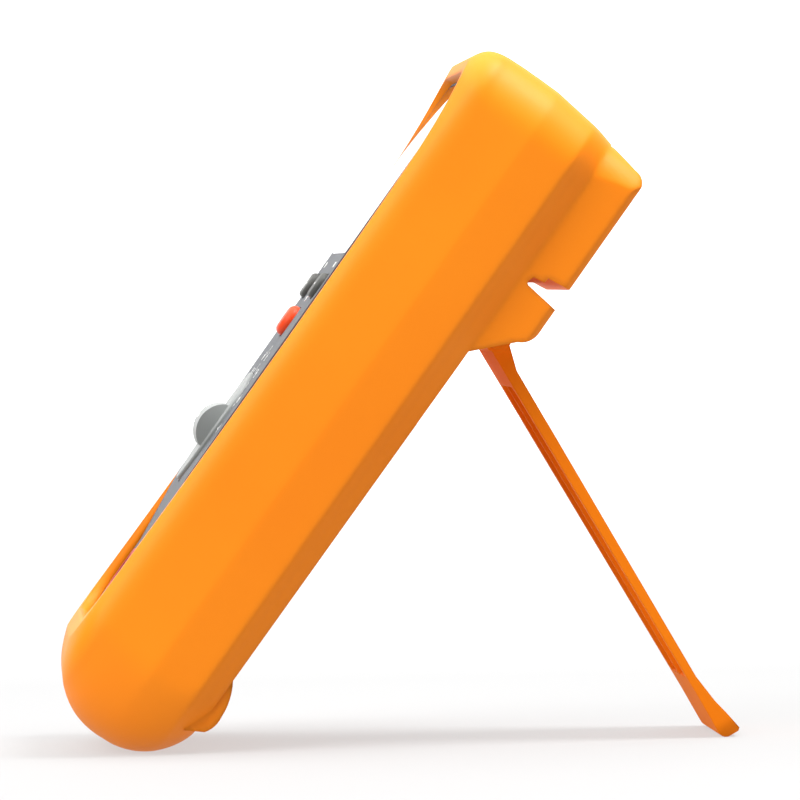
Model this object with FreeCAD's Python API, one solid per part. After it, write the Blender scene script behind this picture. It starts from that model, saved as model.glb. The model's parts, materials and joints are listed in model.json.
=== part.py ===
"""Hand-held digital multimeter in an elastomer boot, standing on its open tilt stand.

Every piece is drawn with the meter lying on its back: X runs across the meter to the
user's right, Y from the bottom end to the top end, Z out of the front panel. Z = 0 is
the lowest part of the boot's front rim. At the end the whole meter is tilted about X
until the boot's bottom end and the stand's foot both touch the floor (Z = 0).
"""
import FreeCAD, Part
import math
import os

V = FreeCAD.Vector

# ---------------------------------------------------------------- driving dimensions (mm)
LENGTH = 185.0            # boot, bottom end to top end
WIDTH = 90.0              # boot, side to side
BACK_Z = -36.3            # flat back of the boot
BACK_RISE = 0.9           # the flat back rises this much toward the bottom end
BLOCK_Z = -47.4           # back face of the raised block behind the display
NOSE_R = 17.3             # rounding of the boot's bottom end, seen from the side
WALL = 4.5                # boot wall
SEAT_Z = -2.0             # underside of the boot's front lip
FLOOR_Z = -32.5           # inside face of the boot's back
PANEL_Z = 0.4             # front panel surface, just proud of the rim's dip
JACK_PANEL_Z = -1.6       # the panel sinks to this level round the input jacks

CASE_WALL = 2.2           # wall of the two case halves
CEILING_Z = -2.6          # inside face of the front panel
SHELF_Z = -4.6            # inside face of the front case round its border
SPLIT_Z = -15.0           # where the two case halves meet
CASE_GAP = 0.2            # case to boot

OPEN_ANGLE = 66.2         # stand, folded to open
STAND_WIDTH = 48.0
STAND_TAPER = 1.6         # each side comes in this much toward the foot
STAND_THICK = 2.7
STAND_REACH = 109.0       # pivot to the end of the foot
FOOT_R = 2.2              # rounding of the foot where it meets the floor

KNOB_Y = 75.0             # dial axis
KNOB_R = 15.4
HUB_R = 5.0
HUB_CLEARANCE = 0.06

BUTTON_Y, BUTTON_X = 115.9, 24.0       # the two grey buttons
SHIFT_Y = 105.6                        # the red-orange button
BUTTON_GAP = 0.3                       # cap to panel hole
BUTTON_TRAVEL = 0.8

JACK_Y, JACK_PITCH, JACK_COUNT = 33.5, 19.0, 4   # 19 mm is the standard plug spacing
JACK_BORE_R = 2.0                      # 4 mm plugs
JACK_SLEEVE_R = 3.0
JACK_WELL_R = 4.7

BOARD_TOP_Z, BOARD_THICK = -9.4, 1.6
SWITCH_HEIGHT = 3.5                    # key switches on the board

BATTERY_Y = 123.3                      # centre of the battery bay
BATTERY_LONG, BATTERY_WIDE, BATTERY_THICK = 46.4, 26.5, 17.4   # 9 V block, body only

# ---------------------------------------------------------------- derived dimensions
HALF = WIDTH / 2
CASE_X = HALF - WALL - CASE_GAP
CASE_Y0, CASE_Y1 = 10.0 + CASE_GAP, LENGTH - WALL - CASE_GAP
CASE_LOW_R, CASE_HIGH_R = 14.8, 10.0
BAY_X = CASE_X - CASE_WALL
BAY_Y0, BAY_Y1 = CASE_Y0 + CASE_WALL, CASE_Y1 - CASE_WALL
LIP_X = HALF - 6.7                     # inside edge of the front rim
LIP_Y0, LIP_Y1 = 20.5, LENGTH - 9.0
BOARD_UNDER_Z = BOARD_TOP_Z - BOARD_THICK
PIVOT_Y, PIVOT_Z = LENGTH - 54.9, -40.8
TRUNNION_R, TRUNNION_CLEARANCE = 2.5, 0.06
JACK_X = [(i - (JACK_COUNT - 1) / 2) * JACK_PITCH for i in range(JACK_COUNT)]
LENS_X, LENS_Y0, LENS_Y1 = LIP_X - 1.3, LENGTH - 59.5, LENGTH - 10.0
LENS_THICK = 1.6
CASE_SCREWS = [(sx * x, y) for x, y in ((BAY_X - 8.1, BAY_Y0 + 4.6), (BAY_X - 3.5, BAY_Y1 - 3.8))
               for sx in (-1, 1)]
BOARD_SCREWS = [(sx * (BAY_X - 5.4), y) for y in (52.0, 100.0) for sx in (-1, 1)]
KEYS = {"left": (-BUTTON_X, BUTTON_Y, 15.0, 6.6, 1.3, 0.8),
        "right": (BUTTON_X, BUTTON_Y, 15.0, 6.6, 1.3, 0.8),
        "shift": (0.0, SHIFT_Y, 13.0, 7.9, 2.0, 1.6)}
# each key: centre x, centre y, size across, size along, height proud, top rounding


# ---------------------------------------------------------------- drawing helpers
def box(x0, x1, y0, y1, z0, z1):
    return Part.makeBox(x1 - x0, y1 - y0, z1 - z0, V(x0, y0, z0))


def disc(x, y, z0, z1, r):
    return Part.makeCylinder(r, z1 - z0, V(x, y, z0), V(0, 0, 1))


def rod(x0, x1, y, z, r):
    return Part.makeCylinder(r, x1 - x0, V(x0, y, z), V(1, 0, 0))


def outline(half, y0, y1, low_r, high_r, z):
    """Rectangle with rounded corners, low_r at the y0 end and high_r at the y1 end."""
    def corner(cx, cy, r, start):
        mid, end = start + math.pi / 4, start + math.pi / 2
        pts = [V(cx + r * math.cos(a), cy + r * math.sin(a), z) for a in (start, mid, end)]
        return Part.Arc(*pts).toShape(), pts[0], pts[2]

    arcs = [corner(half - low_r, y0 + low_r, low_r, -math.pi / 2),
            corner(half - high_r, y1 - high_r, high_r, 0.0),
            corner(high_r - half, y1 - high_r, high_r, math.pi / 2),
            corner(low_r - half, y0 + low_r, low_r, math.pi)]
    edges = []
    for i, (arc, _, end) in enumerate(arcs):
        edges += [arc, Part.makeLine(end, arcs[(i + 1) % 4][1])]
    return Part.Wire(edges)


def slab(half, y0, y1, low_r, high_r, z0, z1):
    """Plate or block with rounded corners, between two heights."""
    return Part.Face(outline(half, y0, y1, low_r, high_r, z0)).extrude(V(0, 0, z1 - z0))


def pill(x, y, across, along, z0, z1):
    r = along / 2
    body = slab(across / 2, -r, r, r - 0.01, r - 0.01, z0, z1)
    body.translate(V(x, y, 0))
    return body


def side_profile(points, x0, x1):
    """Extrude a closed outline given in (y, z) from x0 to x1; three-tuples are arc middles."""
    edges, start, mid = [], None, None
    for p in points + [points[0]]:
        v = V(x0, p[0], p[1])
        if len(p) == 3:
            mid = v
            continue
        if start is not None:
            edges.append(Part.Arc(start, mid, v).toShape() if mid else Part.makeLine(start, v))
        start, mid = v, None
    return Part.Face(Part.Wire(edges)).extrude(V(x1 - x0, 0, 0))


def nose(z, centre_z):
    """How far the rounded bottom end has drawn in at height z."""
    return NOSE_R - math.sqrt(max(NOSE_R ** 2 - (z - centre_z) ** 2, 0.0))


def edges_where(shape, test):
    return [e for e in shape.Edges if test(e.BoundBox)]


# ---------------------------------------------------------------- the boot
def boot_outside():
    """Body of the boot in stacked lofts: rounded rim, two side facets and the back band.

    Each level is a height, the inset of the sides, of the bottom end and of the top end,
    and the corner radii at the bottom and at the top.
    """
    rim = [(3.4, 6.1, 19.3, 7.0, 11.0, 7.5), (2.2, 5.6, 17.6, 4.3, 12.0, 8.5),
           (1.0, 4.2, 14.6, 2.5, 13.0, 9.5), (-0.8, 2.2, 10.2, 1.1, 15.0, 11.5),
           (-3.0, 1.2, 6.6, 0.4, 17.0, 12.5), (-5.0, 0.9, 4.5, 0.1, 19.0, 13.5)]
    front = [rim[-1], (-10.0, 0.6, 1.3, -0.1, 20.5, 14.0),
             (-14.0, 0.35, 0.15, -0.1, 21.0, 14.0), (-19.0, 0.0, 0.0, 0.0, 21.0, 14.0)]
    rear = [(z, 1.4 * (-19.0 - z) / 11.5, nose(z, -19.0), 1.4 * (-19.0 - z) / 11.5,
             21.0 + 0.17 * (z + 19.0), 14.0 + 0.09 * (z + 19.0)) for z in (-19.0, -23.0, -27.0, -30.5)]
    band = [rear[-1], (-32.5, 3.2, nose(-32.5, -19.0), 1.7, 18.0, 12.5),
            (-34.5, 5.0, nose(-34.5, -19.0), 2.1, 15.5, 12.0),
            (BACK_Z, 6.6, NOSE_R, 2.5, 11.0, 11.0)]
    body = None
    for part in (rim, front, rear, band):
        wires = [outline(HALF - inset, low, LENGTH - high, low_r, high_r, z)
                 for z, inset, low, high, low_r, high_r in part]
        layer = Part.makeLoft(wires, True, False)
        body = layer if body is None else body.fuse(layer)
    return body


def boot_block():
    """Raised block behind the display, with its sloping lower face and side-to-side slot."""
    top, low = LENGTH, LENGTH - 61.8
    profile = [(low, FLOOR_Z), (low, BACK_Z), (low + 8.4, BLOCK_Z + 3.0),
               (low + 10.0, BLOCK_Z + 1.0, "arc"), (low + 12.6, BLOCK_Z),
               (top - 7.4, BLOCK_Z), (top - 5.4, BLOCK_Z + 1.1, "arc"), (top - 4.6, BLOCK_Z + 3.2),
               (top - 2.9, BACK_Z - 0.8), (top - 2.9, FLOOR_Z)]
    block = side_profile(profile, -HALF, HALF)
    plan = slab(HALF - 6.6, low - 20.0, top - 2.9, 10.0, 10.0, BLOCK_Z - 1.0, FLOOR_Z)
    # the sides lean in a little and are bevelled at the back
    wide, narrow = HALF - 6.6, HALF - 7.4
    section = [(wide, 0.0), (wide, BACK_Z), (narrow, BLOCK_Z + 1.3), (narrow - 1.2, BLOCK_Z),
               (1.2 - narrow, BLOCK_Z), (-narrow, BLOCK_Z + 1.3), (-wide, BACK_Z), (-wide, 0.0)]
    section = Part.makePolygon([V(x, 0, z) for x, z in section + section[:1]])
    return block.common([plan]).common(Part.Face(section).extrude(V(0, 2 * LENGTH, 0)))


def strap_slot():
    """Slot for a hanging strap: it runs side to side and hooks upward inside the block."""
    y = LENGTH - 42.1
    return side_profile([(y - 0.2, BLOCK_Z - 1.0), (y + 1.0, BLOCK_Z + 8.6),
                         (y + 1.3, BLOCK_Z + 9.0, "arc"), (y + 1.9, BLOCK_Z + 9.2),
                         (y + 3.3, BLOCK_Z + 8.6), (y + 3.7, BLOCK_Z + 5.8),
                         (y + 5.0, BLOCK_Z + 5.7), (y + 5.8, BLOCK_Z - 1.0)], -HALF, HALF)


def rear_feet():
    """Two low ribs on the back, one each side of the folded stand's foot."""
    inner = STAND_WIDTH / 2 + 3.0
    feet = []
    for x0, x1 in ((inner, inner + 10.5), (-inner - 10.5, -inner)):
        rib = side_profile([(13.0, -33.0), (15.4, BACK_Z - 0.9), (17.4, BACK_Z - 1.9, "arc"),
                            (20.5, BACK_Z - 2.1), (24.0, BACK_Z - 1.6, "arc"),
                            (29.6, BACK_Z + 1.0), (29.6, -33.0)], x0, x1)
        feet.append(rib)
    return feet


def holster():
    # the flat back rises a little toward the bottom end
    rise = side_profile([(-5.0, BACK_Z + BACK_RISE), (LENGTH - 65.0, BACK_Z),
                         (LENGTH - 65.0, BACK_Z - 5.0), (-5.0, BACK_Z - 5.0)], -HALF, HALF)
    body = boot_outside().cut(rise).fuse([boot_block()] + rear_feet())
    # the rim dips in the middle of its length
    dip = side_profile([(-5.0, 1.7), (14.0, 1.15), (92.0, 0.0, "arc"), (LENGTH - 35.0, 0.3),
                        (LENGTH - 21.0, 1.0, "arc"), (LENGTH - 8.0, 2.5),
                        (LENGTH + 5.0, 4.2), (LENGTH + 5.0, 5.0), (-5.0, 5.0)], -HALF, HALF)
    body = body.cut(dip)
    cavity = slab(HALF - WALL, 10.0, LENGTH - WALL, 15.0, 10.2, FLOOR_Z, SEAT_Z)
    mouth = slab(LIP_X, LIP_Y0, LIP_Y1, 12.0, 8.0, SEAT_Z - 1.0, 4.0)
    # moulding pocket that keeps the block's wall even above the slot
    core = slab(HALF - 12.0, LENGTH - 31.0, LENGTH - 8.0, 4.0, 6.0, BLOCK_Z + 3.6, FLOOR_Z + 1.0)
    room = STAND_WIDTH / 2 + 0.6
    pocket = box(-room, room, LENGTH - 66.0, LENGTH - 48.6, BLOCK_Z - 2.0, BACK_Z - 0.2)
    reach = room + 4.6
    bores = rod(-reach, reach, PIVOT_Y, PIVOT_Z, TRUNNION_R + TRUNNION_CLEARANCE)
    return body.cut([cavity, mouth, core, pocket, bores, strap_slot()])


# ---------------------------------------------------------------- the tilt stand
def stand_point(u, w):
    """A point of the folded stand: u from the pivot toward the foot, w away from the boot."""
    return PIVOT_Y - u, PIVOT_Z - w


def tilt_stand():
    half, t, end = STAND_WIDTH / 2, STAND_THICK, STAND_REACH
    foot = [stand_point(*p) for p in ((end - 16.4, -0.7), (end - 9.1, 0.2), (end - 5.3, 1.1),
                                      (end - 0.6, 2.0), (end, 1.4))]
    heel = [stand_point(*p) for p in ((end, FOOT_R - t - 0.2),
                                      (end - FOOT_R * 0.293, -t - 0.2 + FOOT_R * 0.293),
                                      (end - FOOT_R, -t - 0.2))]
    blade = side_profile([stand_point(0.0, 0.0), stand_point(3.0, 1.6), stand_point(9.0, 0.0)]
                         + foot + [heel[0], heel[1] + ("arc",), heel[2],
                                   stand_point(end - 12.0, -t), stand_point(0.0, -t)], -half, half)
    # the blade narrows a little toward the foot, with rounded corners
    low, high, tip = PIVOT_Y - end - 1.0, PIVOT_Y + 6.0, half - STAND_TAPER
    corners = [(-half, high), (half, high), (tip, low), (-tip, low), (-half, high)]
    plan = Part.makePolygon([V(x, y, PIVOT_Z - 8.0) for x, y in corners])
    plan = Part.Face(plan).extrude(V(0, 0, 16.0))
    plan = plan.makeFillet(5.0, edges_where(plan, lambda b: b.ZLength > 15.0 and b.YMax < low + 1.0))
    blade = blade.common(plan)
    barrel = rod(-half, half, PIVOT_Y, PIVOT_Z, 3.4)
    reach = half + 4.6
    trunnions = rod(-reach, reach, PIVOT_Y, PIVOT_Z, TRUNNION_R)
    inner_z = PIVOT_Z + t
    channel = slab(half - STAND_TAPER - 3.2, PIVOT_Y - end + 17.0, PIVOT_Y - 12.0, 3.0, 3.0, inner_z - 1.2,
                   inner_z + 1.0)
    stand = blade.fuse([barrel, trunnions]).cut(channel)
    rib = box(-1.0, 1.0, PIVOT_Y - end + 16.5, PIVOT_Y - 11.5, inner_z - 1.5, inner_z)
    stand = stand.fuse(rib)
    stand.rotate(V(0, PIVOT_Y, PIVOT_Z), V(1, 0, 0), OPEN_ANGLE)
    return stand


# ---------------------------------------------------------------- the case
def front_case():
    shell = slab(CASE_X, CASE_Y0, CASE_Y1, CASE_LOW_R, CASE_HIGH_R, SPLIT_Z, SEAT_Z)
    panel = slab(LIP_X - 0.3, LIP_Y0 + 0.3, LIP_Y1 - 0.3, 11.7, 7.7, SEAT_Z, PANEL_Z)
    deep = slab(BAY_X, BAY_Y0, BAY_Y1, CASE_LOW_R - CASE_WALL, CASE_HIGH_R - CASE_WALL,
                SPLIT_Z, SHELF_Z)
    high = slab(LIP_X - 2.8, JACK_Y + 14.0, LIP_Y1 - 2.8, 3.0, 5.0, SHELF_Z - 1.0, CEILING_Z)
    case = shell.fuse(panel).cut([deep, high])
    bosses = [disc(x, y, SPLIT_Z, SHELF_Z + 0.5, 3.2) for x, y in CASE_SCREWS]
    bosses += [disc(x, y, BOARD_TOP_Z, CEILING_Z + 0.5, 2.6) for x, y in BOARD_SCREWS]
    bosses.append(disc(0, KNOB_Y, CEILING_Z - 1.9, CEILING_Z + 0.5, 8.0))
    case = case.fuse(bosses)
    # the panel slopes down to a lower field round the input jacks
    sink = side_profile([(LIP_Y0 - 1.0, JACK_PANEL_Z), (JACK_Y + 8.5, JACK_PANEL_Z),
                         (KNOB_Y - KNOB_R + 1.5, PANEL_Z), (KNOB_Y - KNOB_R + 1.5, 3.0),
                         (LIP_Y0 - 1.0, 3.0)], -HALF, HALF)
    holes = [sink] + [disc(x, y, SPLIT_Z - 1.0, SHELF_Z - 1.2, 1.5) for x, y in CASE_SCREWS]
    holes += [disc(x, y, BOARD_TOP_Z - 1.0, CEILING_Z - 0.6, 1.15) for x, y in BOARD_SCREWS]
    holes.append(disc(0, KNOB_Y, -1.4, 3.0, KNOB_R + 0.5))
    holes.append(disc(0, KNOB_Y, -8.0, 3.0, HUB_R + HUB_CLEARANCE))
    holes += [disc(x, JACK_Y, -8.0, 3.0, JACK_WELL_R) for x in JACK_X]
    for x, y, across, along, _, _ in KEYS.values():
        holes.append(pill(x, y, across + 2 * BUTTON_GAP, along + 2 * BUTTON_GAP, -8.0, 3.0))
    holes.append(slab(LENS_X + 0.1, LENS_Y0 - 0.1, LENS_Y1 + 0.1, 2.1, 6.1,
                      PANEL_Z - LENS_THICK, 3.0))
    holes.append(slab(LENS_X - 6.0, LENS_Y0 + 6.0, LENS_Y1 - 6.0, 1.5, 1.5, -8.0, 3.0))
    return case.cut(holes)


def rear_case():
    shell = slab(CASE_X, CASE_Y0, CASE_Y1, CASE_LOW_R, CASE_HIGH_R, FLOOR_Z, SPLIT_Z)
    inside = slab(BAY_X, BAY_Y0, BAY_Y1, CASE_LOW_R - CASE_WALL, CASE_HIGH_R - CASE_WALL,
                  FLOOR_Z + 2.0, SPLIT_Z + 1.0)
    case = shell.cut(inside)
    # battery bay: four walls and a lid under the board, open at the back for its door
    x, y0, y1 = 27.4, BATTERY_Y - 15.3, BATTERY_Y + 15.3
    lid_z = BOARD_UNDER_Z - 0.6
    case = case.fuse([box(-x, x, y0, y1, FLOOR_Z + 1.0, lid_z)]
                     + [disc(sx, sy, FLOOR_Z, SPLIT_Z, 4.2) for sx, sy in CASE_SCREWS]
                     + [disc(0, y1 + 5.0, FLOOR_Z, FLOOR_Z + 8.0, 3.4)])
    case = case.common(slab(CASE_X, CASE_Y0, CASE_Y1, CASE_LOW_R, CASE_HIGH_R, FLOOR_Z, 0.0))
    cuts = [box(-x + 1.2, x - 1.2, y0 + 1.2, y1 - 1.2, FLOOR_Z - 1.0, lid_z - 1.0),
            box(-x - 0.6, x + 0.6, y0 - 0.6, y1 + 0.6, FLOOR_Z - 1.0, FLOOR_Z + 1.0),
            box(-5.2, 5.2, y1, y1 + 8.6, FLOOR_Z - 1.0, FLOOR_Z + 1.0),
            disc(0, y1 + 5.0, FLOOR_Z - 1.0, FLOOR_Z + 7.0, 1.5)]
    for sx, sy in CASE_SCREWS:
        cuts += [disc(sx, sy, FLOOR_Z - 1.0, SPLIT_Z + 1.0, 1.7),
                 disc(sx, sy, FLOOR_Z - 1.0, FLOOR_Z + 8.5, 3.1)]
    return case.cut(cuts + [seal_ring(0.0)])


def seal_ring(play):
    """Cord that keeps dust out of the joint between the case halves."""
    mid = CASE_WALL / 2
    outer = slab(CASE_X - mid + 0.5 - play, CASE_Y0 + mid - 0.5 + play, CASE_Y1 - mid + 0.5 - play,
                 CASE_LOW_R - mid + 0.5, CASE_HIGH_R - mid + 0.5, SPLIT_Z - 0.9, SPLIT_Z)
    inner = slab(CASE_X - mid - 0.5 + play, CASE_Y0 + mid + 0.5 - play, CASE_Y1 - mid - 0.5 + play,
                 CASE_LOW_R - mid - 0.5, CASE_HIGH_R - mid - 0.5, SPLIT_Z - 2.0, SPLIT_Z + 1.0)
    return outer.cut(inner)


def battery_door():
    y0, y1 = BATTERY_Y - 15.3, BATTERY_Y + 15.3
    plate = box(-27.8, 27.8, y0 - 0.4, y1 + 0.4, FLOOR_Z, FLOOR_Z + 1.0)
    plug = box(-26.0, 26.0, y0 + 1.4, y1 - 1.4, FLOOR_Z + 1.0, FLOOR_Z + 2.0)
    tab = box(-5.0, 5.0, y1, y1 + 8.4, FLOOR_Z, FLOOR_Z + 1.0)
    return plate.fuse([plug, tab]).cut([disc(0, y1 + 5.0, FLOOR_Z - 1.0, FLOOR_Z + 3.0, 1.7),
                                        disc(0, y1 + 5.0, FLOOR_Z - 1.0, FLOOR_Z + 0.5, 2.9)])


def battery_door_screw():
    y = BATTERY_Y + 20.3
    head = disc(0, y, FLOOR_Z + 0.05, FLOOR_Z + 0.5, 2.7)
    return head.fuse(disc(0, y, FLOOR_Z + 0.5, FLOOR_Z + 6.5, 1.45))


def case_screws():
    screws = []
    for x, y in CASE_SCREWS:
        head = disc(x, y, FLOOR_Z + 6.6, FLOOR_Z + 8.5, 2.8)
        head = head.cut(box(x - 0.4, x + 0.4, y - 1.8, y + 1.8, FLOOR_Z + 6.0, FLOOR_Z + 7.4))
        head = head.cut(box(x - 1.8, x + 1.8, y - 0.4, y + 0.4, FLOOR_Z + 6.0, FLOOR_Z + 7.4))
        screws.append(head.fuse(disc(x, y, FLOOR_Z + 8.5, SHELF_Z - 2.0, 1.45)))
    return screws


def board_screws():
    screws = []
    for x, y in BOARD_SCREWS:
        head = disc(x, y, BOARD_UNDER_Z - 1.5, BOARD_UNDER_Z, 2.2)
        screws.append(head.fuse(disc(x, y, BOARD_UNDER_Z, CEILING_Z - 1.6, 1.1)))
    return screws


# ---------------------------------------------------------------- display
def display_lens():
    lens = slab(LENS_X, LENS_Y0, LENS_Y1, 2.0, 6.0, PANEL_Z - LENS_THICK, PANEL_Z)
    return lens.makeFillet(0.4, edges_where(lens, lambda b: b.ZMin > PANEL_Z - 0.1))


def display_frame():
    y0, y1 = LENS_Y0 + 1.0, LENS_Y1 - 4.4
    outer = box(-34.2, 34.2, y0, y1, BOARD_TOP_Z, CEILING_Z - 0.1)
    inner = box(-32.6, 32.6, y0 + 1.6, y1 - 1.6, BOARD_TOP_Z - 1.0, CEILING_Z + 1.0)
    return outer.cut(inner)


def lcd_glass():
    return box(-32.4, 32.4, LENS_Y0 + 2.8, LENS_Y1 - 6.2, CEILING_Z - 2.4, CEILING_Z - 0.2)


def backlight_plate():
    return box(-32.4, 32.4, LENS_Y0 + 6.0, LENS_Y1 - 6.2, CEILING_Z - 5.2, CEILING_Z - 2.6)


def contact_strip():
    return box(-30.0, 30.0, LENS_Y0 + 3.0, LENS_Y0 + 5.4, BOARD_TOP_Z, CEILING_Z - 2.4)


# ---------------------------------------------------------------- board and what it carries
def circuit_board():
    board = slab(BAY_X - 1.0, JACK_Y + 12.5, BAY_Y1 - 1.2, 2.0, 7.0, BOARD_UNDER_Z, BOARD_TOP_Z)
    holes = [disc(x, y, -20.0, 0.0, 4.0) for x, y in CASE_SCREWS]
    holes += [disc(x, y, -20.0, 0.0, 1.4) for x, y in BOARD_SCREWS]
    return board.cut(holes)


def board_chips():
    top = BOARD_UNDER_Z
    sizes = [(0.0, 92.0, 14.0, 14.0, 1.6), (-24.0, 94.0, 7.0, 9.0, 1.5), (22.0, 96.0, 6.0, 5.0, 1.5),
             (20.0, 158.0, 9.0, 9.0, 1.4)]
    return [box(x - a / 2, x + a / 2, y - b / 2, y + b / 2, top - h, top) for x, y, a, b, h in sizes]


def buzzer():
    return disc(-20.0, 157.0, BOARD_UNDER_Z - 5.0, BOARD_UNDER_Z, 8.0)


FUSES = {"fuse_large": (60.0, 5.15, 38.0), "fuse_small": (78.0, 3.15, 32.0)}   # y, radius, length


def fuse(name):
    y, r, length = FUSES[name]
    z = BOARD_UNDER_Z - r - 1.6
    tube = rod(-length / 2 + 6.0, length / 2 - 6.0, y, z, r - 0.25)
    return [tube.fuse([rod(-length / 2, -length / 2 + 6.0, y, z, r),
                       rod(length / 2 - 6.0, length / 2, y, z, r)])]


def fuse_clips():
    clips = []
    for y, r, length in FUSES.values():
        z = BOARD_UNDER_Z - r - 1.6
        for x in (-length / 2 + 3.0, length / 2 - 3.0):
            jaw = box(x - 2.5, x + 2.5, y - r - 0.8, y + r + 0.8, z - r * 0.5, BOARD_UNDER_Z)
            clips.append(jaw.cut(rod(x - 3.0, x + 3.0, y, z, r + 0.02)))
    return clips


def battery():
    z0, x0 = FLOOR_Z + 2.1, -25.4
    half = BATTERY_WIDE / 2
    body = box(x0, x0 + BATTERY_LONG, BATTERY_Y - half, BATTERY_Y + half, z0, z0 + BATTERY_THICK)
    body = body.makeFillet(1.5, edges_where(body, lambda b: b.XLength > 10.0))
    end, mid = x0 + BATTERY_LONG, z0 + BATTERY_THICK / 2
    return body.fuse([rod(end, end + 2.1, BATTERY_Y - 6.35, mid, 3.6),
                      rod(end, end + 2.1, BATTERY_Y + 6.35, mid, 2.8)])


def battery_connector():
    x = -25.4 + BATTERY_LONG + 2.1
    mid = FLOOR_Z + 2.1 + BATTERY_THICK / 2
    return box(x, x + 1.6, BATTERY_Y - 12.0, BATTERY_Y + 12.0, mid - 5.5, mid + 5.5)


# ---------------------------------------------------------------- dial
def knob():
    """Skirt disc with a domed grip bar across it and a hub through the panel."""
    skirt = disc(0, KNOB_Y, -1.2, 1.3, KNOB_R)
    skirt = skirt.makeFillet(0.5, edges_where(skirt, lambda b: b.ZMin > 1.2))
    bar = side_profile([(KNOB_Y - 5.7, 1.0), (KNOB_Y + 5.7, 1.0), (KNOB_Y + 5.8, 1.8),
                        (KNOB_Y, 5.2, "arc"), (KNOB_Y - 5.8, 1.8)], -KNOB_R, KNOB_R)
    bar = bar.common(disc(0, KNOB_Y, 0.0, 7.0, KNOB_R - 0.5))
    hub = disc(0, KNOB_Y, -4.8, -1.2, HUB_R).fuse(disc(0, KNOB_Y, -7.6, -4.8, 4.0))
    groove = box(-KNOB_R + 1.6, -6.0, KNOB_Y - 0.6, KNOB_Y + 0.6, 4.5, 7.0)
    return skirt.fuse([bar, hub]).cut(groove)


def knob_pointer():
    return box(-KNOB_R + 1.6, -6.0, KNOB_Y - 0.6, KNOB_Y + 0.6, 4.5, 5.2)


def switch_rotor():
    rotor = disc(0, KNOB_Y, -7.2, -4.9, 12.5).cut(disc(0, KNOB_Y, -9.0, 0.0, 4.02))
    notches = [disc(12.9 * math.cos(math.radians(a)), KNOB_Y + 12.9 * math.sin(math.radians(a)),
                    -9.0, 0.0, 1.3) for a in range(0, 360, 30)]
    return rotor.cut(notches)


def rotor_contacts():
    """Three sprung fingers that wipe the board's pads, evenly round the rotor."""
    fingers = []
    for i in range(3):
        finger = box(5.4, 10.6, KNOB_Y - 1.0, KNOB_Y + 1.0, -7.7, -7.2)
        finger = finger.fuse(box(9.4, 10.6, KNOB_Y - 1.0, KNOB_Y + 1.0, -9.1, -7.7))
        finger.rotate(V(0, KNOB_Y, 0), V(0, 0, 1), 60.0 + 120.0 * i)
        fingers.append(finger)
    return fingers


# ---------------------------------------------------------------- buttons
def button(name):
    x, y, across, along, proud, top_r = KEYS[name]
    cap = pill(x, y, across, along, CEILING_Z - 1.1, PANEL_Z + proud)
    cap = cap.makeFillet(top_r, edges_where(cap, lambda b: b.ZMin > PANEL_Z + proud - 0.1))
    flange = pill(x, y, across + 2.4, along + 2.4, CEILING_Z - 1.1, CEILING_Z - 0.1)
    return cap.fuse([flange, disc(x, y, CEILING_Z - 2.3, CEILING_Z - 1.0, 1.6)])


def plunger(name):
    x, y = KEYS[name][:2]
    return disc(x, y, CEILING_Z - 4.4, CEILING_Z - 2.3, 1.6)


def key_switches():
    """One switch under each key, with a well that leaves its plunger twice its travel."""
    bodies, well_z = [], CEILING_Z - 4.4 - 2 * BUTTON_TRAVEL
    for x, y, *_ in KEYS.values():
        body = box(x - 3.0, x + 3.0, y - 3.0, y + 3.0, BOARD_TOP_Z, BOARD_TOP_Z + SWITCH_HEIGHT)
        bodies.append(body.cut(disc(x, y, well_z, 0.0, 1.7)))
    return bodies


# ---------------------------------------------------------------- input jacks
JACK_END_Z, JACK_TOP_Z = -26.0, -5.0      # inner end of the block, open end of the sleeves


def jack_block():
    reach = JACK_X[-1] + 6.6
    block = slab(reach, JACK_Y - 7.5, JACK_Y + 7.5, 3.0, 3.0, JACK_END_Z, SHELF_Z - 0.1)
    wells = [disc(x, JACK_Y, JACK_END_Z + 3.0, 0.0, JACK_WELL_R) for x in JACK_X]
    seats = [disc(x, JACK_Y, JACK_END_Z - 1.0, JACK_END_Z + 4.0, JACK_SLEEVE_R) for x in JACK_X]
    return block.cut(wells + seats)


def jack_sleeve(x):
    tube = disc(x, JACK_Y, JACK_END_Z - 1.5, JACK_TOP_Z, JACK_SLEEVE_R)
    return tube.cut(disc(x, JACK_Y, JACK_END_Z + 1.5, 0.0, JACK_BORE_R))


# ---------------------------------------------------------------- assembly
def all_parts():
    parts = {
        "holster": holster(), "tilt_stand": tilt_stand(),
        "front_case": front_case(), "rear_case": rear_case(), "case_seal": seal_ring(0.05),
        "case_screws": case_screws(), "board_screws": board_screws(),
        "battery_door": battery_door(), "battery_door_screw": battery_door_screw(),
        "battery": battery(), "battery_connector": battery_connector(),
        "display_lens": display_lens(), "display_frame": display_frame(),
        "lcd_glass": lcd_glass(), "backlight_plate": backlight_plate(),
        "contact_strip": contact_strip(),
        "circuit_board": circuit_board(), "board_chips": board_chips(), "buzzer": buzzer(),
        "fuse_large": fuse("fuse_large"), "fuse_small": fuse("fuse_small"),
        "fuse_clips": fuse_clips(),
        "knob": knob(), "knob_pointer": knob_pointer(), "switch_rotor": switch_rotor(),
        "rotor_contacts": rotor_contacts(),
        "key_switches": key_switches(), "jack_block": jack_block(),
    }
    for name in KEYS:
        parts["button_" + name] = button(name)
        parts["plunger_" + name] = plunger(name)
    for i, x in enumerate(JACK_X):
        parts["jack_sleeve_%d" % (i + 1)] = jack_sleeve(x)
    return {n: Part.makeCompound(s) if isinstance(s, list) else s for n, s in parts.items()}


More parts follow.
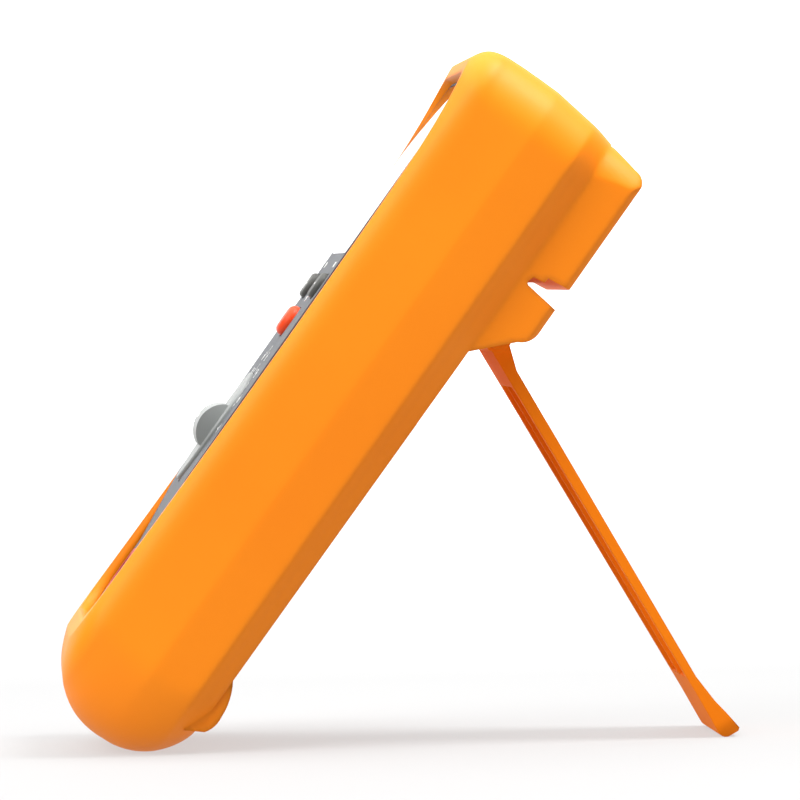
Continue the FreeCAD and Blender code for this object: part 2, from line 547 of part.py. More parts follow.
def tilt_degrees():
    """Tilt at which the boot's round bottom end and the stand's foot touch one floor."""
    a = math.radians(OPEN_ANGLE)
    u, w = STAND_REACH - FOOT_R, FOOT_R - STAND_THICK - 0.2
    foot_y = PIVOT_Y - u * math.cos(a) + w * math.sin(a)
    foot_z = PIVOT_Z - u * math.sin(a) - w * math.cos(a)
    dy, dz = foot_y - NOSE_R, foot_z + 19.0
    slope = math.degrees(math.asin((FOOT_R - NOSE_R) / math.hypot(dy, dz)))
    return slope - math.degrees(math.atan2(dz, dy))


def stand_up(parts):
    for shape in parts.values():
        shape.rotate(V(0, 0, 0), V(1, 0, 0), tilt_degrees())
    room = Part.makeCompound([parts["holster"], parts["tilt_stand"]]).optimalBoundingBox(False)
    for shape in parts.values():
        shape.translate(V(0, -(room.YMin + room.YMax) / 2, -room.ZMin))


def main():
    os.makedirs("parts", exist_ok=True)
    parts = all_parts()
    stand_up(parts)
    for name, shape in parts.items():
        shape.exportStep("parts/%s.step" % name)


main()
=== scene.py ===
# %% [markdown]
# # A digital multimeter on its tilt stand
# The meter is a moulded plastic case inside a soft orange boot. The engineering solids are
# loaded as a fixed frame; this lesson gives them their finishes and adds the printed and
# small moulded details that sit on them.

# %% Load the frame
import bpy, json, math
from mathutils import Matrix, Vector


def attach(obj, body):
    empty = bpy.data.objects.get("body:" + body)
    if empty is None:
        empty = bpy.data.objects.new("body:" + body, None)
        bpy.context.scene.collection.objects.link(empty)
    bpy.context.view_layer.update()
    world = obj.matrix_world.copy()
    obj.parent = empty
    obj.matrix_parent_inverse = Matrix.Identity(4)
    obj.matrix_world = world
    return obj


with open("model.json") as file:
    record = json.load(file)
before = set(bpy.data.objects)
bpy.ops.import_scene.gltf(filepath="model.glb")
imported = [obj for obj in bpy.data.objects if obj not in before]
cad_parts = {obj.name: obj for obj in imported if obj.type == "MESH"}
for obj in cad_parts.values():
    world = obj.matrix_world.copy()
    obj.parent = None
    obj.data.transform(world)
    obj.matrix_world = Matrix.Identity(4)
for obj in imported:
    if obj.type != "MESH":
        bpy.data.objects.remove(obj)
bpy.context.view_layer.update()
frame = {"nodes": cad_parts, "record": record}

# %% [markdown]
# ## A working plane on the front panel
# The panel leans back, so drawing on it in world axes would be awkward. The dial's joint in
# the record says where the panel is and which way it faces. That gives one matrix from flat
# panel millimetres (x across, y up the panel, z out of it, zero at the dial's axis) to the
# standing meter. Its inverse reads back where every other piece sits on the panel.

# %% Panel matrix
dial = next(j for j in frame["record"]["behaviour"]["joints"] if j["name"] == "dial_turn")
out = -Vector(dial["axis"]).normalized()
across = Vector((1, 0, 0))
turn = Matrix((across, out.cross(across), out)).transposed().to_4x4()
panel = Matrix.Translation(Vector(dial["pos_m"])) @ turn @ Matrix.Scale(0.001, 4)
to_panel = panel.inverted()


def extent(name):
    """Lowest and highest panel coordinates, in mm, of an engineering solid."""
    spots = [to_panel @ v.co for v in frame["nodes"][name].data.vertices]
    return [Vector([pick(p[i] for p in spots) for i in range(3)]) for pick in (min, max)]


sockets = [to_panel @ Vector(m["pos_m"]) for m in frame["record"]["mounts"] if m["kind"] == "bore"]
JACK_X, JACK_Y = [p.x for p in sockets], sockets[0].y
lens_low, lens_high = extent("display_lens")
PANEL_Z = lens_high.z
PANEL_DIP = 2.0         # mm from the window's face down to the panel round the sockets
JACK_PANEL_Z = PANEL_Z - PANEL_DIP
KNOB_R = extent("knob")[1].x
print("panel leans", round(math.degrees(math.asin(out.z)), 1), "degrees; jacks at",
      [round(x, 1) for x in JACK_X], round(JACK_Y, 1), "window", lens_low, lens_high)


# %% [markdown]
# ## Making, copying and placing a piece
# An operator acts on everything selected, and the loaded solids start selected, so each piece
# begins with nothing selected. A repeated shape is modelled once and copied, each copy with a
# mesh of its own. A finished piece keeps its place in its mesh, as the solids do, so that it
# can ride on a body and its patterns stay with it.

# %% Placing
def deselect():
    for o in bpy.context.selected_objects:
        o.select_set(False)


def copied(o, move):
    """A copy of o with its own mesh, moved in panel millimetres."""
    twin = o.copy()
    twin.data = o.data.copy()
    bpy.context.collection.objects.link(twin)
    twin.matrix_world = move @ o.matrix_world
    bpy.context.view_layer.update()
    return twin


def shifted(x, y=0.0):
    return Matrix.Translation((x, y, 0.0))


def join(objects):
    deselect()
    for o in objects:
        o.select_set(True)
    bpy.context.view_layer.objects.active = objects[0]
    if len(objects) > 1:
        bpy.ops.object.join()
    return bpy.context.view_layer.objects.active


def settle(o, name, body, matrix=panel):
    """Put the object's place in its mesh, name it and let it ride on a body."""
    o.data.transform(matrix @ o.matrix_world)
    o.matrix_world = Matrix.Identity(4)
    o.name = o.data.name = name
    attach(o, body)
    return o


deselect()
print("left selected:", len(bpy.context.selected_objects))

# %% [markdown]
# ## Colour and node helpers
# Finishes are quoted as sRGB hex, as on a paint card, while shaders work in linear light, so
# one function converts. A second adds any shader node with its settings and links.

# %% Helpers
def linear(hexcode):
    rgb = [int(hexcode[i:i + 2], 16) / 255 for i in (0, 2, 4)]
    return [c / 12.92 if c <= 0.04045 else ((c + 0.055) / 1.055) ** 2.4 for c in rgb] + [1.0]


def node(mat, kind, links=None, values=None, **settings):
    n = mat.node_tree.nodes.new("ShaderNode" + kind)
    for key, value in settings.items():
        setattr(n, key, value)
    for socket_name, value in (values or {}).items():
        n.inputs[socket_name].default_value = value
    for socket_name, (source, output) in (links or {}).items():
        mat.node_tree.links.new(source.outputs[output], n.inputs[socket_name])
    return n


def new_material(name):
    mat = bpy.data.materials.new(name)
    mat.use_nodes = True
    shader = mat.node_tree.nodes["Principled BSDF"]
    where = node(mat, "TexCoord")
    return mat, shader, where


def connect(mat, source, output, target, socket_name):
    mat.node_tree.links.new(source.outputs[output], target.inputs[socket_name])


print("mid grey in linear light:", round(linear("808080")[0], 3))

# %% [markdown]
# ## Boot, stand and keys: moulded plastics and elastomers
# The boot is thermoplastic elastomer from a spark-eroded tool: a soft satin skin with a fine
# pebble about 0.4 mm across, and a slow drift in tone where the melt flowed. Two noise
# textures carry this, one in the bump and the gloss, one in the colour. Tools also leave no
# sharp edge, so a Bevel node rounds the shading at edges by the radius given in millimetres.
# The polypropylene stand is duller. Its orange is a little darker than the boot's, as painted shade
# for the stand's inner face. The silicone keys have a tighter grain. A low specular level keeps
# the highlights of all three soft and broad.

# %% Plastics
DRIFT_MM, PEBBLE_HIGH_MM = 45.5, 0.06
PLASTIC_IOR = 1.49


def moulded_plastic(name, light, dark, grain_mm, rough, bump, edge_mm=0.25, specular=0.5):
    mat, shader, where = new_material(name)
    drift = node(mat, "TexNoise", {"Vector": (where, "Object")},
                 {"Scale": 1000.0 / DRIFT_MM, "Detail": 3.0})
    tone = node(mat, "ValToRGB", {"Fac": (drift, "Fac")})
    for stop, place, colour in zip(tone.color_ramp.elements, (0.32, 0.68), (dark, light)):
        stop.position, stop.color = place, linear(colour)
    pebble = node(mat, "TexNoise", {"Vector": (where, "Object")},
                  {"Scale": 1000.0 / grain_mm, "Detail": 2.0, "Roughness": 0.55})
    gloss = node(mat, "MapRange", {"Value": (pebble, "Fac")},
                 {"To Min": rough - 0.06, "To Max": rough + 0.08})
    edges = node(mat, "Bevel", None, {"Radius": edge_mm / 1000.0}, samples=6)
    relief = node(mat, "Bump", {"Height": (pebble, "Fac"), "Normal": (edges, "Normal")},
                  {"Strength": bump, "Distance": PEBBLE_HIGH_MM / 1000.0})
    connect(mat, tone, "Color", shader, "Base Color")
    connect(mat, gloss, "Result", shader, "Roughness")
    connect(mat, relief, "Normal", shader, "Normal")
    shader.inputs["IOR"].default_value = PLASTIC_IOR
    shader.inputs["Specular IOR Level"].default_value = specular
    return mat


boot_tpe = moulded_plastic("moulded_TPE_orange", "F98A0C", "F7850A", 0.45, 0.5, 0.35, 2.4, 0.22)
# The stand's own orange, made a little darker than the boot's as painted shade for its inner face.
stand_pp_painted_shade = moulded_plastic("moulded_PP_orange_painted_shade", "EE7C0A", "EA7608", 0.6, 0.75, 0.2, 0.6, 0.1)
grey_silicone = moulded_plastic("silicone_key_grey", "52524F", "4D4D4A", 0.3, 0.5, 0.2,
                                specular=0.22)
red_silicone = moulded_plastic("silicone_key_red", "E8481C", "E24318", 0.3, 0.42, 0.2,
                               specular=0.22)
seal_rubber = moulded_plastic("EPDM_seal", "1E1E1E", "1A1A1A", 0.3, 0.6, 0.3)
print("soft plastics:", [m.name for m in (boot_tpe, stand_pp_painted_shade, grey_silicone, red_silicone)])

# %% [markdown]
# ## Case, knob and small mouldings: ABS, PBT and POM
# ABS from a textured tool has an even spark finish about 0.25 mm across, harder than the
# boot, so its highlights are narrower. The knob is smoother and catches a clear satin streak.
# PBT holds the sockets and switches, and slippery white POM makes what slides or turns.

# %% Hard plastics
panel_abs = moulded_plastic("textured_ABS_grey", "5F6165", "5A5C60", 0.25, 0.6, 0.3,
                            specular=0.25)
rear_abs = moulded_plastic("textured_ABS_dark", "3C3D40", "37383B", 0.25, 0.5, 0.3)
knob_abs = moulded_plastic("satin_ABS_knob", "8A8D8B", "858886", 0.35, 0.42, 0.15)
socket_pbt = moulded_plastic("satin_PBT_black", "1C1C1D", "18181A", 0.3, 0.4, 0.15)
collar_pbt = moulded_plastic("satin_PBT_red", "B3241B", "AA2018", 0.3, 0.4, 0.15)
white_pom = moulded_plastic("POM_white", "EDEDE8", "E6E6E1", 0.4, 0.35, 0.1)
print("hard plastics:", [m.name for m in (panel_abs, rear_abs, knob_abs, socket_pbt, white_pom)])

# %% [markdown]
# ## Metal and ceramic parts
# Screws are zinc plated steel, sockets and clips plated brass. Plating over a machined surface
# is bright but never a perfect mirror: one fine noise varies its roughness and its relief, so
# that reflections break up a little. The fuses' glazed ceramic is smooth, hard and glossy.

# %% Metals
MARK_HIGH_MM = 0.02


def plated_metal(name, colour, rough, mark_mm):
    mat, shader, where = new_material(name)
    marks = node(mat, "TexNoise", {"Vector": (where, "Object")},
                 {"Scale": 1000.0 / mark_mm, "Detail": 4.0, "Roughness": 0.7})
    gloss = node(mat, "MapRange", {"Value": (marks, "Fac")},
                 {"To Min": rough - 0.08, "To Max": rough + 0.12})
    relief = node(mat, "Bump", {"Height": (marks, "Fac")},
                  {"Strength": 0.2, "Distance": MARK_HIGH_MM / 1000.0})
    connect(mat, gloss, "Result", shader, "Roughness")
    connect(mat, relief, "Normal", shader, "Normal")
    shader.inputs["Base Color"].default_value = linear(colour)
    shader.inputs["Metallic"].default_value = 1.0
    return mat


zinc_steel = plated_metal("zinc_plated_steel", "C9CACB", 0.32, 0.3)
socket_brass = plated_metal("nickel_plated_brass", "D9C79A", 0.24, 0.25)
tinned_brass = plated_metal("tinned_brass", "CFC9B6", 0.35, 0.4)
battery_tin = plated_metal("printed_tinplate", "3A3D46", 0.38, 0.8)
fuse_ceramic = moulded_plastic("glazed_ceramic", "EAE7DE", "E2DFD6", 2.0, 0.2, 0.05)
print("metals:", [m.name for m in (zinc_steel, socket_brass, tinned_brass, battery_tin)])

# %% [markdown]
# ## Circuit board: glass-epoxy laminate with green solder resist
# Copper tracks show through the resist as slightly lighter lines. A brick pattern with thin
# bright mortar makes short runs of track over the darker green: its rows are a quarter of the
# texture's unit high, so four rows of the 1.27 mm track pitch make one unit.

# %% Laminate
TRACK_PITCH_MM = 1.27
board_fr4, shader, where = new_material("FR4_solder_resist")
tracks = node(board_fr4, "TexBrick", {"Vector": (where, "Object")},
              {"Scale": 250.0 / TRACK_PITCH_MM, "Color1": linear("0B4A22"), "Color2": linear("0D5427"),
               "Mortar": linear("2F8A4A"), "Mortar Size": 0.03})
connect(board_fr4, tracks, "Color", shader, "Base Color")
shader.inputs["Roughness"].default_value = 0.3
glass_relief = node(board_fr4, "Bump", {"Height": (tracks, "Fac")},
                    {"Strength": 0.3, "Distance": 0.00003})
connect(board_fr4, glass_relief, "Normal", shader, "Normal")
print("laminate nodes:", len(board_fr4.node_tree.nodes))

# %% [markdown]
# ## Display window and liquid-crystal cell
# The window is cast acrylic with polished faces: clear from straight ahead and a mirror at a
# glancing angle, which Fresnel reflection gives by itself. Wiping leaves faint scuffs, drawn
# as patches of slight roughness. Light from a lamp can't be traced straight through refracting
# plastic, so rays on their way to a lamp take a Transparent shader instead and the display is
# lit evenly. The cell behind it is a grey-green reflective film with a grain of about 0.2 mm.

# %% Window and cell
window_acrylic, shader, where = new_material("cast_acrylic_window")
for name, value in (("Base Color", linear("F7F9FA")), ("IOR", PLASTIC_IOR),
                    ("Transmission Weight", 1.0)):
    shader.inputs[name].default_value = value
scuffs = node(window_acrylic, "TexNoise", {"Vector": (where, "Object")},
              {"Scale": 400.0, "Detail": 5.0})
wear = node(window_acrylic, "MapRange", {"Value": (scuffs, "Fac")},
            {"From Min": 0.5, "To Min": 0.0, "To Max": 0.012})
connect(window_acrylic, wear, "Result", shader, "Roughness")
lamp_ray = node(window_acrylic, "LightPath")
clear = node(window_acrylic, "BsdfTransparent")
sheet = node(window_acrylic, "MixShader", {0: (lamp_ray, "Is Shadow Ray"), 1: (shader, "BSDF"),
                                           2: (clear, "BSDF")})
connect(window_acrylic, sheet, "Shader",
        window_acrylic.node_tree.nodes["Material Output"], "Surface")
cell_film = moulded_plastic("LCD_reflective_film", "6B7263", "676E5F", 0.2, 0.3, 0.05)
light_guide = moulded_plastic("frosted_acrylic", "E9EEEA", "E3E8E4", 0.5, 0.35, 0.1)
print("window nodes:", len(window_acrylic.node_tree.nodes))

# %% [markdown]
# ## Printing inks
# Legends are pad-printed: a thin, slightly uneven film of ink with a satin surface. One noise
# a few tenths of a millimetre across varies its gloss, as the pad leaves it. The film is far
# too thin to have rounded edges, so its edge radius is nought.

# %% Inks
ink_dark = moulded_plastic("ink_charcoal", "222326", "1F2023", 0.3, 0.45, 0.03, edge_mm=0.0)
ink_white = moulded_plastic("ink_white", "F2F2EE", "ECECE8", 0.3, 0.5, 0.1, edge_mm=0.0)
segment_ink = moulded_plastic("LCD_segment", "4B5144", "474D41", 0.3, 0.4, 0.02, edge_mm=0.0)
print("inks:", [m.name for m in (ink_dark, ink_white, segment_ink)])

# %% [markdown]
# ## Finish on each engineering solid
# The solids keep their shapes; only the material in their slot changes.

# %% Assign
finish = {
    "holster": boot_tpe, "tilt_stand": stand_pp_painted_shade, "front_case": panel_abs, "rear_case": rear_abs,
    "case_seal": seal_rubber, "case_screws": zinc_steel, "board_screws": zinc_steel,
    "battery_door": rear_abs, "battery_door_screw": zinc_steel, "battery": battery_tin,
    "battery_connector": socket_pbt, "display_lens": window_acrylic, "display_frame": white_pom,
    "lcd_glass": cell_film, "backlight_plate": light_guide, "contact_strip": seal_rubber,
    "circuit_board": board_fr4, "board_chips": socket_pbt, "buzzer": socket_pbt,
    "fuse_large": fuse_ceramic, "fuse_small": fuse_ceramic, "fuse_clips": tinned_brass,
    "knob": knob_abs, "knob_pointer": ink_white, "switch_rotor": white_pom,
    "rotor_contacts": tinned_brass, "key_switches": socket_pbt, "jack_block": socket_pbt,
    "button_left": grey_silicone, "button_right": grey_silicone, "button_shift": red_silicone,
    "plunger_left": white_pom, "plunger_right": white_pom, "plunger_shift": white_pom,
}
finish.update({"jack_sleeve_%d" % i: socket_brass for i in (1, 2, 3, 4)})
for name, material in finish.items():
    for slot in frame["nodes"][name].material_slots:
        slot.material = material
print("finished nodes:", len(finish), "of", len(frame["nodes"]))

# %% [markdown]
# ## Dial legend
# The ring of function marks round the knob is printed on the panel. A tick is one small bar
# with its corners bevelled off, modelled once and copied round the dial in equal steps.

# %% Ticks
INK_LIFT, INK_HIGH = 0.02, 0.04        # mm: clear of the panel, and thick
STEP_DEG, POSITIONS = 22.5, 9
TICK_R = KNOB_R + 2.0


def dial_point(angle, radius):
    a = math.radians(angle)
    return radius * math.cos(a), radius * math.sin(a)


def bar(x, y, long, wide, z, turn_deg=0.0, high=INK_HIGH):
    """A flat printed bar standing on z, its corners bevelled off."""
    deselect()
    bpy.ops.mesh.primitive_cube_add(size=1.0, location=(x, y, z + high / 2),
                                    rotation=(0, 0, math.radians(turn_deg)))
    o = bpy.context.object
    o.scale = (long, wide, high)
    bpy.ops.object.transform_apply(location=False, rotation=False, scale=True)
    bpy.ops.object.mode_set(mode="EDIT")
    bpy.ops.mesh.select_all(action="SELECT")
    bpy.ops.mesh.bevel(offset=min(high, wide) * 0.3, segments=1)
    bpy.ops.object.mode_set(mode="OBJECT")
    return o


tick = bar(*dial_point(180.0, TICK_R), 1.9, 0.5, PANEL_Z + INK_LIFT)
ticks = [tick] + [copied(tick, Matrix.Rotation(math.radians(-STEP_DEG * i), 4, "Z"))
                  for i in range(1, POSITIONS)]
dial_ticks = settle(join(ticks), "dial_ticks", "meter")
dial_ticks.data.materials.append(ink_white)
print("ticks:", POSITIONS, "at radius", round(TICK_R, 1), "mm")

# %% [markdown]
# ## Words
# A word is a text object, given a little thickness and turned into a mesh, so that it lies on
# the panel like a film of ink. Reading outward from its tick, each word is centred on its ray;
# the longest one sits a little further out to clear the tick.

# %% Words
HALF_FILM = 0.015       # half the words' thickness, mm
WORD_R, LONG_WORD_R = 22.0, 23.2
DIAL_TEXT, JACK_TEXT, KEY_TEXT = 3.6, 3.0, 2.2


def word(body_text, x, y, size, z=PANEL_Z + INK_LIFT):
    deselect()
    bpy.ops.object.text_add(location=(0, 0, 0))
    o = bpy.context.object
    o.data.body, o.data.size, o.data.extrude = body_text, size, HALF_FILM
    o.data.align_x, o.data.align_y = "CENTER", "CENTER"
    o.data.resolution_u = 3
    bpy.ops.object.convert(target="MESH")
    o = bpy.context.object
    o.location = (x, y, z + HALF_FILM)
    bpy.context.view_layer.update()
    return o


def printed(name, words, ink, body="meter", matrix=panel):
    o = settle(join(words), name, body, matrix)
    o.data.materials.clear()
    o.data.materials.append(ink)
    return o


LABELS = ["OFF", "V~", "V=", "mV", "Ω", "nF", "Hz", "mA", "A"]
marks = [word(t, *dial_point(180.0 - STEP_DEG * i, LONG_WORD_R if t == "OFF" else WORD_R),
              DIAL_TEXT) for i, t in enumerate(LABELS)]
dial_words = printed("dial_words", marks, ink_white)
print("dial words:", len(LABELS), "faces:", len(dial_words.data.polygons))

# %% [markdown]
# ## Jack collars and words
# Each socket has a slightly raised coloured collar: red where the test current enters, black
# at the common socket. A torus pressed flat makes the soft-edged ring.

# %% Collars
COLLAR_R, COLLAR_SECTION, COLLAR_FLAT = 5.7, 0.62, 0.35
COMMON = 2              # third socket from the left


def collar(x, y):
    deselect()
    bpy.ops.mesh.primitive_torus_add(location=(x, y, JACK_PANEL_Z), major_radius=COLLAR_R,
                                     minor_radius=COLLAR_SECTION, major_segments=48,
                                     minor_segments=10)
    o = bpy.context.object
    bpy.ops.object.mode_set(mode="EDIT")
    bpy.ops.mesh.select_all(action="SELECT")
    bpy.ops.transform.resize(value=(1, 1, COLLAR_FLAT), center_override=(x, y, JACK_PANEL_Z))
    bpy.ops.object.mode_set(mode="OBJECT")
    bpy.ops.object.shade_smooth()
    return o


common = collar(JACK_X[COMMON], JACK_Y)
hot = join([copied(common, shifted(x - JACK_X[COMMON]))
            for i, x in enumerate(JACK_X) if i != COMMON])
settle(common, "collar_common", "meter").data.materials.append(socket_pbt)
settle(hot, "collars_red", "meter").data.materials.append(collar_pbt)
print("collars:", len(JACK_X), "at height", round(JACK_PANEL_Z, 2))

# %% [markdown]
# ## Words and links at the sockets
# The words stand below the sockets, on the sunken part of the panel, and a thin printed line
# joins each socket to the next.

# %% Socket words
jack_words = [word(t, x, JACK_Y - 9.0, JACK_TEXT, JACK_PANEL_Z + INK_LIFT)
              for t, x in zip(("A", "mA", "COM", "VΩ"), JACK_X)]
jack_words += [bar((a + b) / 2, JACK_Y, 5.0, 0.35, JACK_PANEL_Z + INK_LIFT)
               for a, b in zip(JACK_X, JACK_X[1:])]
printed("jack_words", jack_words, ink_white)
print("socket words and links:", len(jack_words))

# %% [markdown]
# ## Display face
# A dark border is printed on the back of the window, leaving the viewing area clear. It is a
# plane whose middle is inset and taken out, then given a film's thickness.

# %% Border
def framed_sheet(x, y0, y1, hole_x, h0, h1, z, thick):
    """A thin sheet with a window in it: inset a plane, drop the middle, give it thickness."""
    deselect()
    bpy.ops.mesh.primitive_plane_add(size=1.0, location=(0, (y0 + y1) / 2, z))
    o = bpy.context.object
    o.scale = (2 * x, y1 - y0, 1)
    bpy.ops.object.transform_apply(location=True, rotation=False, scale=True)
    bpy.ops.object.mode_set(mode="EDIT")
    bpy.ops.mesh.select_all(action="SELECT")
    bpy.ops.mesh.inset(thickness=1.0)
    bpy.ops.object.mode_set(mode="OBJECT")
    inner = [v for v in o.data.vertices if abs(v.co.x) < x - 0.5]
    for v in inner:
        v.co.x = math.copysign(hole_x, v.co.x)
        v.co.y = h0 if v.co.y < (y0 + y1) / 2 else h1
    bpy.ops.object.mode_set(mode="EDIT")
    bpy.ops.mesh.select_all(action="DESELECT")
    bpy.ops.object.mode_set(mode="OBJECT")
    middle = min(o.data.polygons, key=lambda p: (p.center - Vector((0, (h0 + h1) / 2, z))).length)
    middle.select = True
    bpy.ops.object.mode_set(mode="EDIT")
    bpy.ops.mesh.delete(type="FACE")
    bpy.ops.mesh.select_all(action="SELECT")
    bpy.ops.mesh.extrude_region_move(TRANSFORM_OT_translate={"value": (0, 0, thick)})
    bpy.ops.mesh.select_all(action="SELECT")
    bpy.ops.mesh.normals_make_consistent(inside=False)
    bpy.ops.object.mode_set(mode="OBJECT")
    return o


EDGE = 0.6                                          # border back from the window's edge, mm
VIEW_HALF, VIEW_BELOW, VIEW_ABOVE = 31.0, 6.2, 7.0  # clear view: half width, margins, mm
border = settle(framed_sheet(lens_high.x - EDGE, lens_low.y + EDGE, lens_high.y - EDGE, VIEW_HALF,
                             lens_low.y + VIEW_BELOW, lens_high.y - VIEW_ABOVE,
                             lens_low.z + INK_LIFT, INK_HIGH), "window_border", "meter")
border.data.materials.append(ink_dark)
print("border faces:", len(border.data.polygons))

# %% [markdown]
# ## Digits on the cell
# The cell shows its digits faintly even when the meter is off. A digit is seven bars, the
# upright ones leaning a little. One digit is modelled and copied to the other places, and so
# is the decimal point. A scale of short bars runs below, with every fifth one longer.

# %% Digits
DIGIT_PITCH, DIGIT_HIGH, SEGMENT_HIGH = 13.4, 18.0, 0.03
FIRST_DIGIT_X, POINT_X, SCALE_X, SCALE_PITCH = -20.5, -14.5, -24.0, 2.0


def digit(x, y, high):
    """Seven bars that lean a little, as on a real cell."""
    w, t = high * 0.52, high * 0.09
    spots = [(0, high / 2, 0), (0, 0, 0), (0, -high / 2, 0),
             (-w / 2, high / 4, 90), (w / 2, high / 4, 90),
             (-w / 2, -high / 4, 90), (w / 2, -high / 4, 90)]
    lean = 0.12
    bars = []
    for dx, dy, a in spots:
        long = (w if a == 0 else high / 2) - t * 1.25
        bars.append(bar(x + dx + lean * dy, y + dy, long, t, CELL_Z, a - (7 if a else 0),
                        SEGMENT_HIGH))
    return join(bars)


glass_low, glass_high = extent("lcd_glass")
CELL_Z, CELL_Y = glass_high.z + 0.01, (glass_low.y + glass_high.y) / 2
first = digit(FIRST_DIGIT_X, CELL_Y + 2.0, DIGIT_HIGH)
point = bar(POINT_X, CELL_Y - 7.4, 1.3, 1.3, CELL_Z, 0, SEGMENT_HIGH)
segments = [first] + [copied(first, shifted(DIGIT_PITCH * i)) for i in (1, 2, 3)]
segments += [point] + [copied(point, shifted(DIGIT_PITCH * i)) for i in (1, 2)]
segments += [bar(SCALE_X + SCALE_PITCH * i, CELL_Y - 12.0, 0.35, 1.2 if i % 5 else 2.0, CELL_Z,
                 0, SEGMENT_HIGH) for i in range(25)]
cell = printed("lcd_segments", segments, segment_ink)
print("display faces:", len(cell.data.polygons))

# %% [markdown]
# ## Button marks
# The grey buttons carry a small white sign each, made of one or two bars. The signs ride on
# the buttons, so they sink with them when pressed. The words above the buttons stay on the
# panel.

# %% Marks
tops = {}
for key in ("left", "right", "shift"):
    low, high = extent("button_" + key)
    tops[key] = Vector(((low.x + high.x) / 2, (low.y + high.y) / 2, high.z + 0.005))
x, y, z = tops["left"]
printed("mark_left", [bar(x, y, 3.2, 0.5, z), bar(x, y, 0.5, 3.2, z)], ink_white, "key_left")
x, y, z = tops["right"]
printed("mark_right", [bar(x, y, 3.2, 0.5, z)], ink_white, "key_right")
words = [word(t, tops[k].x, tops[k].y + up, KEY_TEXT)
         for t, k, up in (("HOLD", "left", 6.1), ("RANGE", "right", 6.1), ("SHIFT", "shift", 6.6))]
printed("button_words", words, ink_white)
print("buttons marked:", len(tops))

# %% [markdown]
# ## Rating plate
# The back of the boot carries a thin moulded plate with the ratings, behind the folded stand.
# It is a bevelled slab let into the elastomer, and its words face backward, so it is drawn on
# a second plane: the panel's, turned half round its own up-the-panel line.

# %% Plate
rear = panel @ Matrix.Rotation(math.pi, 4, "Y")
BACK_DEPTH, PLATE_Y = 36.15, -4.0       # plate face behind the panel plane; centre, mm
deselect()
bpy.ops.mesh.primitive_cube_add(size=1.0, location=(0, PLATE_Y, BACK_DEPTH - 0.4))
plate = bpy.context.object
plate.scale = (40.0, 25.0, 0.8)
bpy.ops.object.transform_apply(location=False, rotation=False, scale=True)
rounding = plate.modifiers.new("rounded_corners", "BEVEL")
rounding.width, rounding.segments, rounding.affect = 0.25, 3, "EDGES"
bpy.ops.object.modifier_apply(modifier="rounded_corners")
plate = settle(plate, "rating_plate", "meter", rear)
plate.data.materials.append(rear_abs)
lines = (("DIGITAL MULTIMETER", 7.0, 2.7), ("600 V   10 A", 2.0, 2.4),
         ("FUSES  11 A / 0.44 A", -2.6, 1.9), ("BATTERY  9 V", -6.6, 1.9))
plate_words = [word(t, 0, PLATE_Y + up, size, BACK_DEPTH) for t, up, size in lines]
printed("plate_words", plate_words, ink_white, "meter", rear)
print("plate words:", len(lines))

# %% [markdown]
# ## Studio
# A pale sweep with a backdrop beyond it, both faintly glowing so that they stay white without
# more light on the meter; the glow grows with distance, so that no grey band shows where they
# meet. A dim white surround and three soft boxes light the meter: a large one above and in
# front for the rim and panel, a smaller one behind for the top end, and one at the side that
# keeps the long flank even.

# %% Sweep and backdrop
STUDIO_M = 8.0
FLOOR_GLOW, HORIZON_GLOW, WALL_GLOW = 0.56, 0.98, 0.95
deselect()
bpy.ops.mesh.primitive_plane_add(size=STUDIO_M, location=(0, 0, 0))
floor = bpy.context.object
floor.name = "studio_floor"
bpy.ops.mesh.primitive_plane_add(size=STUDIO_M, location=(-3.6, 0, 3.9),
                                 rotation=(0, math.radians(90), 0))
wall = bpy.context.object
wall.name = "studio_backdrop"


def studio_paint(name, tone, glow):
    mat, shader, where = new_material(name)
    weave = node(mat, "TexNoise", {"Vector": (where, "Object")}, {"Scale": 60.0})
    relief = node(mat, "Bump", {"Height": (weave, "Fac")}, {"Strength": 0.02})
    connect(mat, relief, "Normal", shader, "Normal")
    for key, value in (("Base Color", linear(tone)), ("Roughness", 0.9),
                       ("Emission Color", linear("FFFFFF")), ("Emission Strength", glow)):
        shader.inputs[key].default_value = value
    return mat


sweep = studio_paint("studio_sweep", "606060", FLOOR_GLOW)
far = node(sweep, "SeparateXYZ", {"Vector": (node(sweep, "TexCoord"), "Object")})
ramp = node(sweep, "MapRange", {"Value": (far, "X")},
            {"From Min": -0.25, "From Max": -1.3, "To Min": FLOOR_GLOW, "To Max": HORIZON_GLOW})
connect(sweep, ramp, "Result", sweep.node_tree.nodes["Principled BSDF"], "Emission Strength")
for sheet, paint in ((floor, sweep), (wall, studio_paint("lit_backdrop", "E0E0E0", WALL_GLOW))):
    sheet.data.materials.append(paint)
print("studio sheets:", floor.name, wall.name)

# %% [markdown]
# ## Lights
# A soft box is a square area lamp turned to face a point on the meter. Its size sets how soft
# the shadows are, and its power how bright.

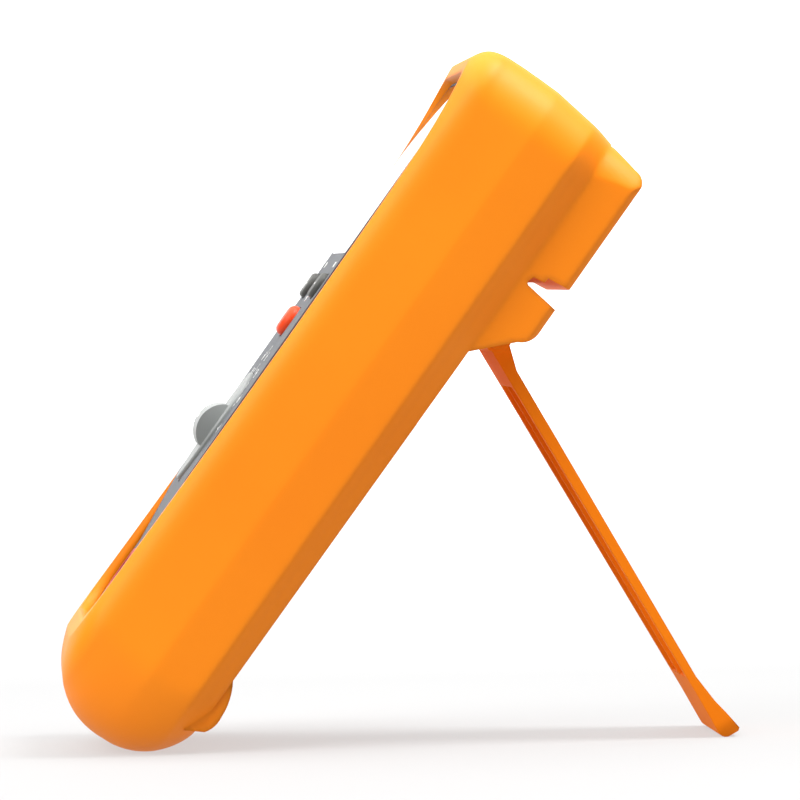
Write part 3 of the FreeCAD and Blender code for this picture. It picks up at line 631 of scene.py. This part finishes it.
# %% Lights
world = bpy.context.scene.world or bpy.data.worlds.new("studio_white")
bpy.context.scene.world = world
world.use_nodes = True
surround = world.node_tree.nodes["Background"]
surround.inputs["Color"].default_value = (1, 1, 1, 1)
surround.inputs["Strength"].default_value = 0.12


def soft_box(name, place, aim, size, watts):
    lamp = bpy.data.lights.new(name, "AREA")
    lamp.shape, lamp.size, lamp.energy = "SQUARE", size, watts
    o = bpy.data.objects.new(name, lamp)
    bpy.context.collection.objects.link(o)
    o.location = place
    o.rotation_euler = (Vector(aim) - Vector(place)).to_track_quat("-Z", "Y").to_euler()
    return o


soft_box("key_above", (0.0, -0.6, 1.6), (0, 0, 0.08), 2.4, 46.0)
soft_box("top_back", (0.1, 0.75, 1.5), (0, 0.03, 0.12), 0.8, 42.0)
soft_box("fill_side", (1.25, -1.3, 1.3), (0, 0, 0.08), 1.5, 33.0)
bpy.context.scene.view_settings.view_transform = "Standard"

# %% [markdown]
# ## Camera
# A long lens looks at the meter's right side, almost level and a few degrees round toward
# the panel, so the far rim and the stand's inner face just show.

# %% Camera
AZIMUTH, ELEVATION, ROLL = 87.0, 1.0, 1.13      # degrees
DISTANCE, VIEW_WIDTH = 1.7, 0.19052             # metres; the width is at the aim point
AIM = Vector((0.0, 0.0021, 0.0807))
a, e, r = (math.radians(v) for v in (AZIMUTH, ELEVATION, ROLL))
back = Vector((math.cos(e) * math.sin(a), -math.cos(e) * math.cos(a), math.sin(e)))
right = Vector((math.cos(a), math.sin(a), 0))
up = back.cross(right)
right, up = (right * math.cos(r) - up * math.sin(r)), (right * math.sin(r) + up * math.cos(r))
lens = bpy.data.cameras.new("long_lens")
lens.sensor_width = 36.0
lens.lens = lens.sensor_width * DISTANCE / VIEW_WIDTH
camera = bpy.data.objects.new("camera", lens)
bpy.context.collection.objects.link(camera)
pose = Matrix((right, up, back)).transposed().to_4x4()
camera.matrix_world = Matrix.Translation(AIM + back * DISTANCE) @ pose
bpy.context.scene.camera = camera
print("lens mm:", round(lens.lens, 1))
